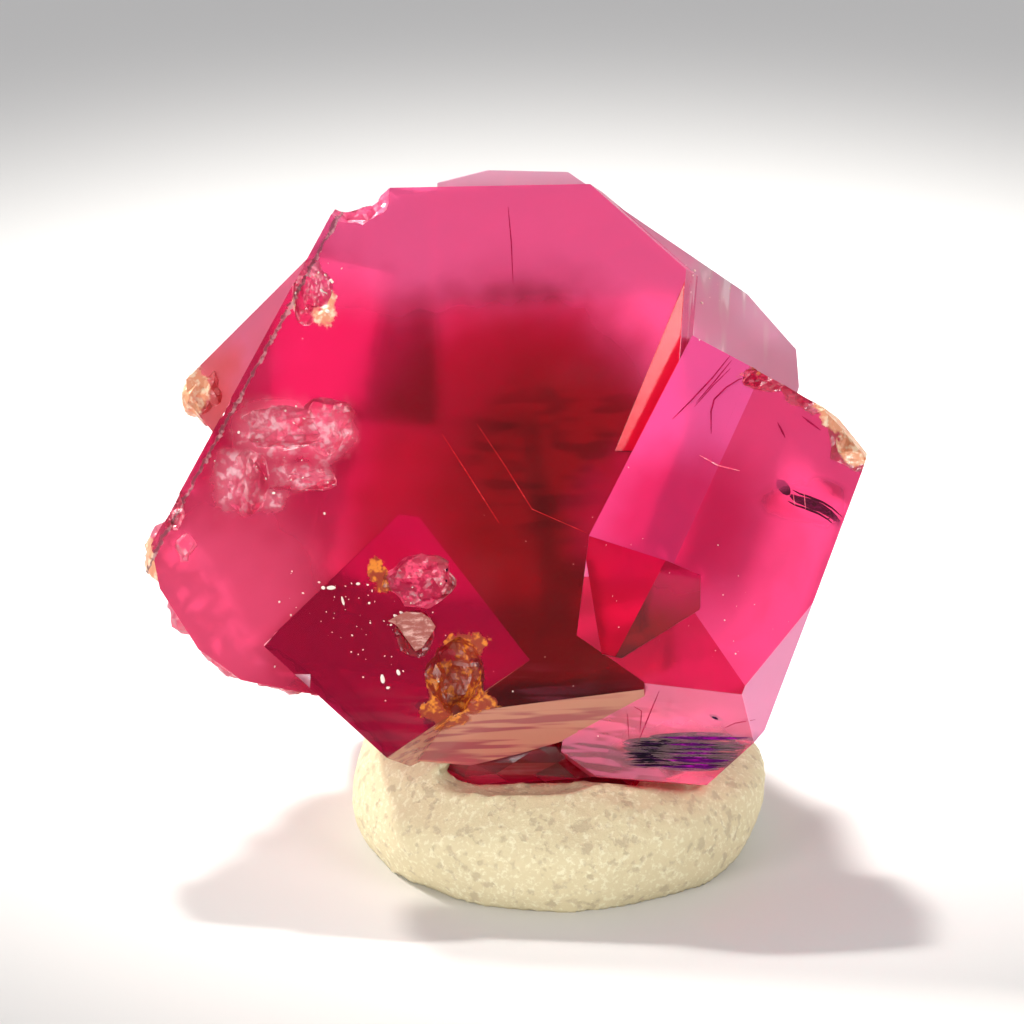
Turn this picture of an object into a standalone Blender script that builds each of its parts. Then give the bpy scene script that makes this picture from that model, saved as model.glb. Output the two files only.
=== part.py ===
"""A grossular garnet: blocky crystals grown together, standing in a dab of putty.

The crystals are described in the cluster's own frame, in millimetres: right, back and up, with the broad face of
the main crystal looking forward. The cluster then leans back on the putty. Each crystal is a block cut down by
one plane for each of its faces, and the crystals are joined into one solid.
"""

import math

import bmesh
import bpy
from mathutils import Matrix, Vector, noise

MM = 0.001

# How the cluster stands: it leans back by this angle, with the middle of its main face this high.
LEAN_BACK = math.radians(22)
MIDDLE_HEIGHT = 9.7
# The putty is moulded round the crystals and keeps this gap to them.
PUTTY_GAP = 0.15

# A block that every crystal is cut from.
ROUGH_BLOCK = 60.0

# Directions are (right, back, up). A front face's tilt says which way it looks, off straight forward.
FORWARD = Vector((0, -1, 0))


def facing(right, up):
    """The direction of a face that looks forward, turned this far right and up by slope."""
    return Vector((right, -1, up)).normalized()


# Main crystal: the broad face, then its sides clockwise from the top as seen from the front.
MAIN_FACE = facing(-0.09, 0.14)
MAIN_FACE_AT = (0, 0, 0)
MAIN_SIDES = [
    # corner (right, up), lean of the side that starts there, in degrees
    ((-4.45, 9.90), 2),
    ((2.35, 10.00), 7),
    ((5.00, 7.62), 5),
    ((3.80, -3.95), 30),
    ((-1.40, -4.62), -6),
    ((-5.60, -4.06), -12),
    ((-7.30, -3.72), -14),
    ((-8.45, -2.90), -14),
    ((-9.55, -1.20), -10),
    ((-9.80, 0.00), 7),
]
MAIN_BACK = [
    # direction (right, back, up), a point on the face
    ((0.10, 1.00, -0.05), (0, 10.4, 0)),
    ((-0.10, 0.72, 0.70), (0, 2.6, 9.6)),
    ((-0.72, 0.60, 0.35), (-7.6, 4.4, 4.0)),
    ((-0.62, 0.62, -0.48), (-8.2, 2.4, -2.2)),
    ((0.80, 0.55, 0.25), (7.0, 5.2, 4.0)),
    ((0.05, 0.62, -0.78), (0, 7.2, -6.2)),
    ((0.28, 0.20, -0.93), (-1.93, 1.5, -6.10)),
]

# The sloping underside of the main crystal is one of its sides. This block carries it on, down to the left.
UNDERSIDE = 3
FOOT_SIDES = [
    ((-1.55, -4.66), 0),
    ((2.40, -4.15), 0),
    ((1.93, -5.32), 0),
    ((0.47, -5.76), 0),
    ((-0.94, -6.12), 0),
    ((-2.90, -5.95), 0),
]
FOOT_BACK = [((0, 0.61, 0.79), (0, 2.0, -3.0))]

# A growth layer that stands proud of the main face at its lower left, and hangs below it.
LAYER_FACE = facing(-0.045, 0.175)
LAYER_FACE_AT = (-1.5, 0.06, -0.5)
LAYER_SIDES = [
    ((-6.19, -2.28), 0),
    ((-3.40, 0.90), 0),
    ((0.60, 0.40), 0),
    ((1.50, -2.60), 8),
    ((-3.25, -5.83), -11),
    ((-6.68, -2.75), 0),
]
LAYER_BACK = [((-0.05, 0.55, -0.83), (-3.2, 1.1, -6.1))]

# The crystal on the right, grown parallel to the main one. Its front is broken into facets.
RIGHT_FACE = facing(0.02, 0.12)
RIGHT_FACE_AT = (4.76, -1.05, -0.19)
RIGHT_SIDES = [
    ((5.14, 5.80), 6),
    ((8.60, 3.90), 12),
    ((9.90, 2.30), 0),
    ((6.98, -5.40), -10),
    ((5.95, -6.55), -4),
    ((2.90, -6.30), 0),
    ((1.60, -5.40), 0),
    ((2.32, 0.35), 0),
]
RIGHT_FACETS = [
    ((-0.21, -0.95, 0.22), (4.76, -1.05, -0.19)),
    ((-0.21, -0.98, -0.04), (5.30, -1.25, -2.20)),
    ((-0.23, -0.83, -0.50), (5.23, -1.17, -3.93)),
    ((0.50, -0.82, -0.30), (7.50, -1.28, -2.75)),
]
RIGHT_BACK = [
    ((0.25, 1.00, 0.05), (6.0, 4.2, 0)),
    ((0.70, 0.60, 0.40), (9.2, 2.2, 3.0)),
    ((0.30, 0.70, -0.65), (6.0, 3.6, -5.0)),
]

# Angular notches in front faces: the outline (right, up) and the faces left at the bottom of the notch.
NOTCH_FRONT_AT = (0, -4, 0)
# The strip along the main face's upper right edge.
STRIP_OUTLINE = [(1.80, 9.60), (7.50, 9.60), (7.50, 2.60), (2.90, 2.60)]
STRIP_FACES = [((0.37, -1.00, -0.05), (4.50, 0.46, 6.20))]
# The two facets at the inner corner of the right crystal's front.
CORNER_OUTLINE = [(2.10, 0.32), (4.50, -0.45), (5.36, -0.82), (5.34, -1.75), (3.20, -3.10), (2.65, -3.00)]
CORNER_FACES = [
    ((0.10, -0.99, 0.05), (2.37, -0.35, 0.14)),
    ((-0.47, -0.82, 0.33), (4.00, -0.25, -1.20)),
]

# Crystals behind the main one: seen over its top and right, and past its left edge.
BACK_RIGHT_FACE_AT = (0, 2.6, 0)
BACK_RIGHT_SIDES = [
    ((-1.90, 10.10), 0),
    ((-0.50, 10.45), -3),
    ((1.75, 10.40), -4),
    ((6.75, 7.00), 0),
    ((8.12, 5.45), -4),
    ((8.20, 4.40), -8),
    ((6.40, -1.50), 0),
    ((-1.50, -1.00), 0),
]
BACK_RIGHT_BACK = [
    ((0.18, 1.00, 0.10), (4.0, 10.6, 4.0)),
    ((0.10, 0.62, 0.78), (2.0, 7.8, 8.8)),
    ((0.78, 0.60, 0.12), (7.6, 8.2, 3.0)),
]
BACK_LEFT_FACE_AT = (0, 3.2, 0)
BACK_LEFT_SIDES = [
    ((-5.55, 8.00), 0),
    ((-3.00, 7.40), 0),
    ((-4.00, 1.50), 0),
    ((-8.15, 3.10), -4),
    ((-8.88, 4.00), -4),
    ((-8.94, 4.62), 0),
]
BACK_LEFT_BACK = [
    ((-0.20, 1.00, 0.10), (-6.0, 8.4, 5.0)),
    ((-0.70, 0.65, 0.10), (-8.4, 6.2, 5.0)),
]
BACK_LOW_FACE_AT = (0, 6.5, 0)
BACK_LOW_SIDES = [
    ((-4.60, 3.10), 0),
    ((1.80, 2.60), -6),
    ((2.60, -3.60), -6),
    ((-2.20, -5.20), -10),
    ((-5.80, -2.10), -6),
]
BACK_LOW_BACK = [
    ((-0.12, 1.00, 0.16), (-1.5, 12.4, -1.0)),
    ((-0.10, 0.70, -0.70), (-1.5, 11.2, -3.6)),
]

# Each crystal's front face, its sides and its other faces. The main crystal comes first.
CRYSTALS = {
    "main": (MAIN_FACE_AT, MAIN_FACE, MAIN_SIDES, MAIN_BACK),
    "layer": (LAYER_FACE_AT, LAYER_FACE, LAYER_SIDES, LAYER_BACK),
    "right": (RIGHT_FACE_AT, RIGHT_FACE, RIGHT_SIDES, RIGHT_BACK + RIGHT_FACETS),
    "back_right": (BACK_RIGHT_FACE_AT, FORWARD, BACK_RIGHT_SIDES, BACK_RIGHT_BACK),
    "back_left": (BACK_LEFT_FACE_AT, FORWARD, BACK_LEFT_SIDES, BACK_LEFT_BACK),
    "back_low": (BACK_LOW_FACE_AT, FORWARD, BACK_LOW_SIDES, BACK_LOW_BACK),
}

# The broken root, where the cluster was taken off its rock. It sits down in the putty.
ROOT_MIDDLE = (0.9, 4.5, -5.6)
ROOT_RADII = (3.9, 2.9, 1.6)
ROOT_ROUGHNESS = 0.35

# Rounded lumps along the lower left rim: middle (right, back, up) and radii.
RIM_LUMPS = [
    ((-8.85, 2.10, -0.30), (1.20, 1.30, 1.05)),
    ((-8.20, 2.15, -1.75), (1.15, 1.35, 0.95)),
    ((-7.30, 2.00, -2.75), (1.15, 1.30, 0.92)),
    ((-5.95, 1.75, -3.35), (1.10, 1.25, 0.78)),
    ((-8.35, 4.10, 4.20), (0.72, 1.10, 0.80)),
]
RIM_ROUGHNESS = 0.28

# Scoops taken out of a front face: middle (right, up), how far in front of the face it is, and its radii.
MAIN_SCOOPS = [
    # the frosted hollows on the left
    ((-6.20, 3.25), 0.36, (1.45, 0.70, 0.80)),
    ((-5.00, 3.35), 0.34, (0.95, 0.62, 0.95)),
    ((-7.10, 1.75), 0.34, (0.70, 0.60, 1.15)),
    ((-5.35, 1.75), 0.40, (1.00, 0.56, 0.42)),
    # the broken edge at the top left
    ((-4.15, 9.70), 0.10, (0.95, 0.75, 0.85)),
    ((-5.45, 7.15), 0.20, (0.62, 0.60, 1.00)),
    # nicks in the left edge
    ((-7.95, 4.25), 0.00, (0.36, 0.60, 0.70)),
    ((-9.25, 1.00), 0.00, (0.36, 0.55, 0.60)),
]
LAYER_SCOOPS = [
    # the fracture between the layer and the dark middle of the main face
    ((-2.35, -0.95), 0.28, (1.10, 0.66, 0.85)),
    ((-2.50, -2.45), 0.26, (0.62, 0.60, 0.72)),
    ((-1.35, -3.55), 0.10, (0.82, 0.85, 1.05)),
]
RIGHT_SCOOPS = [
    # the snapped upper corner
    ((9.60, 3.10), 0.10, (0.85, 0.95, 1.05)),
    ((8.45, 4.25), 0.10, (0.80, 0.80, 0.62)),
    ((7.20, 4.60), 0.12, (0.70, 0.60, 0.40)),
]
SCOOP_ROUGHNESS = 0.30

# Growth layers standing on the broad faces at the back: the crystal, which of its back faces,
# how far the layer's edges stay inside the crystal's, and its thickness.
GROWTH_LAYERS = [
    ("main", 0, 0.90, 0.10),
    ("main", 2, 0.70, 0.08),
    ("right", 0, 0.75, 0.08),
    ("back_right", 1, 0.80, 0.09),
    ("back_low", 0, 0.85, 0.10),
]

# Putty: a squashed ball, flat where it is pressed down.
PUTTY_MIDDLE = (1.45, 2.35, 1.60)
PUTTY_RADII = (5.85, 5.75, 3.90)
PUTTY_TOP = 2.3
PUTTY_LUMPS = 0.30
PUTTY_RIM_LIFT = 0.9
# A dent in the front of its rim, which shows the root: middle (right, back, up) in the cluster's frame, and radii.
DENT_MIDDLE = (0.30, 0.80, -6.35)
DENT_RADII = (2.5, 1.8, 0.62)
DENT_ROUGHNESS = 0.20

GARNET_COLOUR = (0.80, 0.02, 0.14, 1.0)
PUTTY_COLOUR = (0.84, 0.78, 0.56, 1.0)


def clear_scene():
    for obj in list(bpy.data.objects):
        bpy.data.objects.remove(obj, do_unlink=True)


def new_collection(name):
    collection = bpy.data.collections.new(name)
    bpy.context.scene.collection.children.link(collection)
    return collection


def new_object(name, shape, collection):
    """An object from a bmesh whose lengths are in millimetres."""
    mesh = bpy.data.meshes.new(name)
    shape.transform(Matrix.Scale(MM, 4))
    bmesh.ops.recalc_face_normals(shape, faces=shape.faces[:])
    shape.to_mesh(mesh)
    shape.free()
    obj = bpy.data.objects.new(name, mesh)
    collection.objects.link(obj)
    return obj


def cut_by(shape, point, direction):
    """Takes away what lies on the far side of a plane, and closes the cut with one flat face."""
    everything = shape.verts[:] + shape.edges[:] + shape.faces[:]
    cut = bmesh.ops.bisect_plane(
        shape,
        geom=everything,
        plane_co=point,
        plane_no=direction,
        clear_outer=True,
        dist=1e-5,
    )
    rim = [part for part in cut["geom_cut"] if isinstance(part, bmesh.types.BMEdge)]
    if rim:
        bmesh.ops.contextual_create(shape, geom=rim)


def on_plane(corner, point, direction):
    """The point of a front face that is seen at a corner (right, up)."""
    right, up = corner
    slope = (right - point.x) * direction.x + (up - point.z) * direction.z
    return Vector((right, point.y - slope / direction.y, up))


def side_planes(front_at, front, sides):
    """The planes of a crystal's sides. Each goes back from an edge of the front face, and leans outwards."""
    corners = [on_plane(corner, front_at, front) for corner, _ in sides]
    planes = []
    for index, (_, lean) in enumerate(sides):
        start = corners[index]
        along = (corners[(index + 1) % len(corners)] - start).normalized()
        outward = front.cross(along)
        lean = math.radians(lean)
        planes.append((start, outward * math.cos(lean) + front * math.sin(lean)))
    return planes


def crystal(front_at, front, sides, others, grow=0.0, raised=None, rise=0.0):
    """A block bounded by a front face, its sides and other faces, each moved out by grow.

    The raised one of the other faces moves out by rise instead.
    """
    front_at = Vector(front_at)
    planes = [(front_at, front)]
    planes += side_planes(front_at, front, sides)
    planes += [(Vector(point), Vector(direction).normalized()) for direction, point in others]
    distances = [grow] * len(planes)
    if raised is not None:
        distances[1 + len(sides) + raised] = rise
    shape = bmesh.new()
    bmesh.ops.create_cube(shape, size=ROUGH_BLOCK)
    for (point, direction), distance in zip(planes, distances):
        cut_by(shape, point + direction * distance, direction)
    return shape


def lump(middle, radii, roughness, detail, seed, grow=0.0):
    """An uneven ball, for a broken or a hollowed surface."""
    shape = bmesh.new()
    bmesh.ops.create_icosphere(shape, subdivisions=detail, radius=1.0)
    offset = Vector((seed * 7.3, seed * 3.1, seed * 5.7))
    for vertex in shape.verts:
        bump = noise.noise(vertex.co * 1.9 + offset) * roughness
        vertex.co = Vector(
            (axis * (radius * (1 + bump) + grow) for axis, radius in zip(vertex.co, radii))
        )
    bmesh.ops.translate(shape, vec=Vector(middle), verts=shape.verts[:])
    return shape


def scoop_shapes():
    """The uneven balls that leave chips and pits in the front faces."""
    faces = [
        (MAIN_SCOOPS, MAIN_FACE_AT, MAIN_FACE),
        (LAYER_SCOOPS, LAYER_FACE_AT, LAYER_FACE),
        (RIGHT_SCOOPS, RIGHT_FACE_AT, RIGHT_FACE),
    ]
    shapes = []
    for scoops, face_at, face in faces:
        for place, ahead, radii in scoops:
            middle = on_plane(place, Vector(face_at), face) + face * ahead
            shapes.append(lump(middle, radii, SCOOP_ROUGHNESS, 3, len(shapes) + 20))
    return shapes


def notch(outline, faces):
    """The block that leaves a notch with these faces at its bottom."""
    sides = [(corner, 0) for corner in outline]
    planes = [(-Vector(direction), point) for direction, point in faces]
    return crystal(NOTCH_FRONT_AT, FORWARD, sides, planes)


def cluster_shapes(grow):
    """Every crystal of the cluster and its broken root, as (name, shape)."""
    shapes = [(name, crystal(*faces, grow)) for name, faces in CRYSTALS.items()]
    underside_at, underside = side_planes(Vector(MAIN_FACE_AT), MAIN_FACE, MAIN_SIDES)[UNDERSIDE]
    shapes.append(("foot", crystal(underside_at, underside, FOOT_SIDES, FOOT_BACK, grow)))
    shapes.append(("root", lump(ROOT_MIDDLE, ROOT_RADII, ROOT_ROUGHNESS, 3, 1, grow)))
    return shapes


def growth_layers():
    """The thin layers, each one its own crystal made smaller, with one face moved out."""
    return [
        crystal(*CRYSTALS[name], grow=-inset, raised=face, rise=thickness)
        for name, face, inset, thickness in GROWTH_LAYERS
    ]


def combine(obj, helper, operation):
    """Adds a Boolean of obj with a helper object."""
    modifier = obj.modifiers.new(f"{operation.lower()} {helper.name}", "BOOLEAN")
    modifier.operation = operation
    modifier.solver = "EXACT"
    modifier.object = helper


def lean_back(obj):
    obj.rotation_euler = (-LEAN_BACK, 0, 0)
    obj.location = (0, 0, MIDDLE_HEIGHT * MM)


def as_helper(obj):
    obj.hide_render = True
    obj.display_type = "WIRE"
    return obj


def build_cluster(name, collection, helpers, grow, detailed):
    """The crystals joined into one object. The detailed one has its lumps, terraces, chips and pits."""
    crystals = cluster_shapes(grow)
    cluster = new_object(name, crystals[0][1], collection)
    lean_back(cluster)
    steps = [(f"{name}_{part}", shape, "UNION") for part, shape in crystals[1:]]
    if detailed:
        steps.insert(0, ("strip", notch(STRIP_OUTLINE, STRIP_FACES), "DIFFERENCE"))
        for index, (middle, radii) in enumerate(RIM_LUMPS):
            steps.append((f"rim_{index}", lump(middle, radii, RIM_ROUGHNESS, 3, index + 2), "UNION"))
        for index, shape in enumerate(growth_layers()):
            steps.append((f"growth_layer_{index}", shape, "UNION"))
        steps.append(("corner", notch(CORNER_OUTLINE, CORNER_FACES), "DIFFERENCE"))
        for index, shape in enumerate(scoop_shapes()):
            steps.append((f"scoop_{index}", shape, "DIFFERENCE"))
    for step, shape, operation in steps:
        helper = as_helper(new_object(step, shape, helpers))
        lean_back(helper)
        combine(cluster, helper, operation)
    return cluster


def build_putty(collection, helpers):
    """A squashed ball of putty, flat below and moulded round the cluster's foot."""
    middle = Vector(PUTTY_MIDDLE)
    shape = bmesh.new()
    bmesh.ops.create_icosphere(shape, subdivisions=4, radius=1.0)
    for vertex in shape.verts:
        way = vertex.co.copy()
        lumps = PUTTY_LUMPS * noise.noise(way * 1.6 + Vector((4.0, 1.0, 9.0)))
        lumps += 0.4 * PUTTY_LUMPS * noise.noise(way * 4.5)
        vertex.co = Vector((axis * (radius + lumps) for axis, radius in zip(way, PUTTY_RADII)))
        if way.z > 0:
            vertex.co.z = way.z * (PUTTY_TOP + lumps)
        left_rim = max(0.0, -way.x) * max(0.0, way.z)
        vertex.co.z += PUTTY_RIM_LIFT * left_rim
    bmesh.ops.translate(shape, vec=middle, verts=shape.verts[:])
    cut_by(shape, Vector((0, 0, 0)), Vector((0, 0, -1)))
    putty = new_object("putty", shape, collection)
    mould = as_helper(build_cluster("mould", helpers, helpers, PUTTY_GAP, False))
    combine(putty, mould, "DIFFERENCE")
    dent = as_helper(new_object("dent", lump(DENT_MIDDLE, DENT_RADII, DENT_ROUGHNESS, 3, 12), helpers))
    lean_back(dent)
    combine(putty, dent, "DIFFERENCE")
    return putty


def plain_material(name, colour, roughness, transmission=0.0):
    material = bpy.data.materials.new(name)
    material.use_nodes = True
    shader = material.node_tree.nodes["Principled BSDF"]
    shader.inputs["Base Color"].default_value = colour
    shader.inputs["Roughness"].default_value = roughness
    shader.inputs["Metallic"].default_value = 0.0
    shader.inputs["Transmission Weight"].default_value = transmission
    material.diffuse_color = colour
    return material


def stand_on_origin(objects, moved):
    """Moves everything so that the objects' box stands on the origin, by the middle of its underside."""
    bpy.context.view_layer.update()
    graph = bpy.context.evaluated_depsgraph_get()
    points = []
    for obj in objects:
        solid = obj.evaluated_get(graph)
        points += [solid.matrix_world @ vertex.co for vertex in solid.data.vertices]
    low = Vector([min(point[axis] for point in points) for axis in range(3)])
    high = Vector([max(point[axis] for point in points) for axis in range(3)])
    shift = Vector(((low.x + high.x) / 2, (low.y + high.y) / 2, low.z))
    for obj in moved:
        obj.location -= shift


def main():
    clear_scene()
    garnet_parts = new_collection("grossular_garnet")
    helpers = new_collection("helpers")
    garnet = build_cluster("garnet", garnet_parts, helpers, 0.0, True)
    putty = build_putty(garnet_parts, helpers)
    garnet.data.materials.append(plain_material("garnet", GARNET_COLOUR, 0.08, 1.0))
    putty.data.materials.append(plain_material("putty", PUTTY_COLOUR, 0.85))
    stand_on_origin([garnet, putty], list(bpy.data.objects))


main()
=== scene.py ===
"""The looks of the grossular garnet specimen.

It dresses the clear red crystals, with their fractures, stains and inclusions, and the dab of putty.
"""

import math
import random

import bmesh
import bpy
import numpy as np
from mathutils import Matrix, Vector, noise
from mathutils.bvhtree import BVHTree


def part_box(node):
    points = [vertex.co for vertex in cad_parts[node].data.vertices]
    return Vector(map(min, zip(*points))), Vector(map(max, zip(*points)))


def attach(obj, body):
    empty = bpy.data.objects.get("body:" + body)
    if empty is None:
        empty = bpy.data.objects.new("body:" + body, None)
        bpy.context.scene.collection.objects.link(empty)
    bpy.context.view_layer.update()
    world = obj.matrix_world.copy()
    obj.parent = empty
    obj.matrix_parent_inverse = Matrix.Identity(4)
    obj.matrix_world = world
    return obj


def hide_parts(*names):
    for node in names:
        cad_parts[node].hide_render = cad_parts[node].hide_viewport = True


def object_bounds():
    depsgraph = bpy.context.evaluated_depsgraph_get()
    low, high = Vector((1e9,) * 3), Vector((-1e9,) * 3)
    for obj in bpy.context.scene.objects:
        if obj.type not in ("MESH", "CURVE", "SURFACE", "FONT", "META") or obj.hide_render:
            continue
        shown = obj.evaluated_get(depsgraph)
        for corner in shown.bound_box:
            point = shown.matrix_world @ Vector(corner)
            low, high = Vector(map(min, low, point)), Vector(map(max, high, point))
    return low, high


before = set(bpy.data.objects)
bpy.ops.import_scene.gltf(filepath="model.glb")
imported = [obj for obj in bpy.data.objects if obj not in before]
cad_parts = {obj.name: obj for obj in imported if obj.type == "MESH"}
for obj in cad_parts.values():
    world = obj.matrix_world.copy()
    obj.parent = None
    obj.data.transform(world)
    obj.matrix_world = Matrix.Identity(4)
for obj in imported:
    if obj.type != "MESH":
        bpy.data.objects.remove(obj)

CAD_LOW, CAD_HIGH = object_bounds()
MM = 0.001

# The cluster's own frame, in millimetres: right, back and up from the middle of the main face.
LEAN_BACK = math.radians(22)
MIDDLE_OF_FACE = Vector((-0.01, -4.72, 9.70)) * MM
CLUSTER = Matrix.Translation(MIDDLE_OF_FACE) @ Matrix.Rotation(-LEAN_BACK, 4, "X") @ Matrix.Scale(MM, 4)
FRONT = (CLUSTER.to_3x3() @ Vector((0, -1, 0))).normalized()

# Camera: a long lens, square on to the main face. The centre of its view is in the cluster's frame.
VIEW_WIDTH = 28.2 * MM
VIEW_CENTRE = (0.19, 0.0, 0.91)
CAMERA_LENS = 250
SENSOR = 36
NEAREST_SEEN = 0.001


def place(right, back, up):
    """A point given in the cluster's own frame, in millimetres."""
    return CLUSTER @ Vector((right, back, up))


def link(obj):
    bpy.context.scene.collection.objects.link(obj)
    return obj


def mesh_object(name, shape):
    mesh = bpy.data.meshes.new(name)
    shape.to_mesh(mesh)
    shape.free()
    return link(bpy.data.objects.new(name, mesh))


# Material building


class Nodes:
    """A short way to write a material's node tree."""

    def __init__(self, name):
        self.material = bpy.data.materials.new(name)
        self.material.use_nodes = True
        self.tree = self.material.node_tree
        self.shader = self.tree.nodes["Principled BSDF"]
        self.output = self.tree.nodes["Material Output"]

    def add(self, kind, inputs=None, **settings):
        node = self.tree.nodes.new(kind)
        for key, value in settings.items():
            setattr(node, key, value)
        for key, value in (inputs or {}).items():
            self.feed(node.inputs[key], value)
        return node

    def feed(self, socket, value):
        if isinstance(value, bpy.types.NodeSocket):
            self.tree.links.new(value, socket)
        else:
            socket.default_value = value

    def set(self, name, value):
        self.feed(self.shader.inputs[name], value)

    def maths(self, operation, first, second=0.0, clamp=False):
        node = self.add("ShaderNodeMath", operation=operation, use_clamp=clamp)
        self.feed(node.inputs[0], first)
        self.feed(node.inputs[1], second)
        return node.outputs[0]

    def mix(self, factor, first, second):
        node = self.add("ShaderNodeMix", data_type="RGBA")
        self.feed(node.inputs["Factor"], factor)
        self.feed(node.inputs["A"], first)
        self.feed(node.inputs["B"], second)
        return node.outputs["Result"]

    def between(self, factor, first, second):
        node = self.add("ShaderNodeMix", data_type="FLOAT")
        self.feed(node.inputs["Factor"], factor)
        self.feed(node.inputs["A"], first)
        self.feed(node.inputs["B"], second)
        return node.outputs["Result"]

    def noise(self, where, scale, detail=4.0, roughness=0.55):
        inputs = {"Vector": where, "Scale": scale, "Detail": detail, "Roughness": roughness}
        return self.add("ShaderNodeTexNoise", inputs).outputs["Fac"]

    def step(self, value, low, high):
        inputs = {"Value": value, "From Min": low, "From Max": high}
        node = self.add("ShaderNodeMapRange", inputs, interpolation_type="SMOOTHSTEP")
        return node.outputs["Result"]

    def attribute(self, name):
        return self.add("ShaderNodeAttribute", attribute_name=name).outputs["Fac"]

    def cluster_place(self):
        """The shaded point in the cluster's own frame, in millimetres."""
        where = self.add("ShaderNodeTexCoord").outputs["Object"]
        inputs = {
            "Vector": where,
            "Location": MIDDLE_OF_FACE,
            "Rotation": (-LEAN_BACK, 0, 0),
            "Scale": (MM, MM, MM),
        }
        return self.add("ShaderNodeMapping", inputs, vector_type="TEXTURE").outputs["Vector"]

    def dot(self, first, second):
        node = self.add("ShaderNodeVectorMath", operation="DOT_PRODUCT")
        self.feed(node.inputs[0], first)
        node.inputs[1].default_value = second
        return node.outputs["Value"]

    def grooves(self, where, stretch, zone):
        """Fine streaks in one zone, drawn out along the direction of the smallest stretch."""
        drawn = self.add("ShaderNodeVectorMath", operation="MULTIPLY")
        self.feed(drawn.inputs[0], where)
        drawn.inputs[1].default_value = stretch
        streaks = self.step(self.noise(drawn.outputs["Vector"], 1.0, 1.0, 0.6), 0.46, 0.60)
        return self.maths("MULTIPLY", streaks, self.attribute(zone))

    def frayed(self, zone, grain):
        """A zone whose soft edge is broken up by a grain."""
        return self.step(self.maths("ADD", self.attribute(zone), grain), 0.80, 1.10)


# Zones of the crystals, in the cluster's own frame and in millimetres. Each has the softness of its edge,
# and the middle (right, back, up) and radii of every ellipsoid that it is made of.
ZONES = {
    # painted shade: the thick middle of the crystals is darker where little light comes through, and its
    # heart darker still
    "painted_shade_middle": (0.22, [
        ((0.35, 2.0, 0.40), (4.80, 12.0, 6.80)),
        ((1.20, 2.0, -3.60), (3.20, 12.0, 3.40)),
    ]),
    "painted_shade_heart": (0.45, [
        ((1.40, 2.0, 1.00), (3.50, 12.0, 4.90)),
        ((1.30, 2.0, -3.20), (2.50, 9.0, 2.80)),
    ]),
    # painted light: the top glows pink where light shines through the thinner stone
    "painted_glow_top": (0.35, [
        ((0.50, 0.6, 9.00), (7.50, 3.0, 2.60)),
        ((4.40, 0.8, 6.60), (2.40, 3.0, 3.00)),
    ]),
    # painted light: the lower left glows where the light from the left shines in
    "painted_glow_lower_left": (0.40, [
        ((-7.80, 1.6, -1.60), (3.20, 4.0, 3.00)),
    ]),
    "milky": (0.45, [
        ((-8.20, 2.0, -2.20), (2.60, 3.0, 2.60)),
        ((-4.60, 0.8, 7.90), (1.30, 0.9, 0.90)),
        ((4.60, 0.8, 8.20), (1.90, 0.9, 1.60)),
    ]),
    "pale_fractures": (0.42, [
        ((-6.45, 0.8, 3.15), (1.15, 0.8, 0.80)),
        ((-5.00, 0.8, 3.10), (0.72, 0.8, 0.75)),
        ((-7.55, 0.8, 1.85), (0.50, 0.8, 0.85)),
        ((-5.70, 0.8, 1.90), (0.80, 0.7, 0.36)),
        ((-6.50, 0.8, 1.20), (0.45, 0.6, 0.30)),
    ]),
    "cream_edges": (0.35, [
        ((-5.25, 0.8, 7.00), (0.62, 0.9, 1.00)),
        ((-4.30, 0.6, 9.75), (0.75, 1.2, 0.50)),
        ((-8.75, 4.4, 4.25), (0.70, 1.6, 1.00)),
        ((-9.95, 2.0, -0.70), (0.50, 1.6, 0.80)),
        ((9.20, 0.3, 3.75), (0.75, 2.0, 0.70)),
        ((9.75, 0.3, 2.80), (0.50, 2.0, 0.70)),
    ]),
    "salmon": (0.35, [
        ((-3.50, 0.3, 9.45), (1.80, 0.9, 0.55)),
        ((-8.10, 4.4, 4.20), (0.80, 2.0, 1.90)),
    ]),
    "mineral_stain": (0.35, [
        ((-1.35, 0.2, -3.85), (0.78, 2.0, 0.78)),
        ((-1.60, 0.2, -4.60), (0.60, 2.0, 0.45)),
        ((-0.75, 0.2, -4.25), (0.45, 2.0, 0.42)),
        ((-1.00, 0.2, -2.75), (0.50, 2.0, 0.45)),
        ((-3.45, 0.2, -0.95), (0.28, 1.0, 0.50)),
        ((7.30, -1.2, 4.75), (1.20, 1.2, 0.36)),
    ]),
    # the broken, pink-lit place at the growth layer's inner corner
    "chip": (0.25, [
        ((-2.60, 0.0, -1.10), (1.05, 2.0, 1.00)),
    ]),
    # painted shade: a duller, darker stretch of the right crystal, where it meets the painted shade of the
    # heart
    "painted_shade_right": (0.50, [
        ((4.70, -1.0, 0.70), (2.50, 1.6, 2.10)),
    ]),
    # where inclusions lie close under the surface: the band of fibres, and the tube
    "clear": (0.30, [
        ((5.10, 0.0, -5.70), (2.10, 2.0, 0.62)),
        ((8.35, -0.8, 1.15), (1.05, 1.0, 0.50)),
    ]),
    # painted glints along fine upright grooves of the crystal at the upper right, and darker streaks along
    # fine level grooves on the underside
    "painted_glint_grooves": (0.35, [
        ((6.10, 2.6, 6.30), (1.30, 1.4, 1.90)),
    ]),
    "level_grooves": (0.35, [
        ((0.00, 1.2, -5.40), (5.20, 3.2, 1.80)),
    ]),
    # the dark brushed wisps inside the main crystal
    "dark_wisps": (0.35, [
        ((1.60, 0.5, 2.20), (2.60, 2.0, 2.20)),
    ]),
}

# How uneven the zones' edges are: how often they waver in a millimetre, how far, and the seed of it
ZONE_WOBBLE_SCALE = 1.6
ZONE_WOBBLE = 0.30
ZONE_SEED = 7

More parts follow.
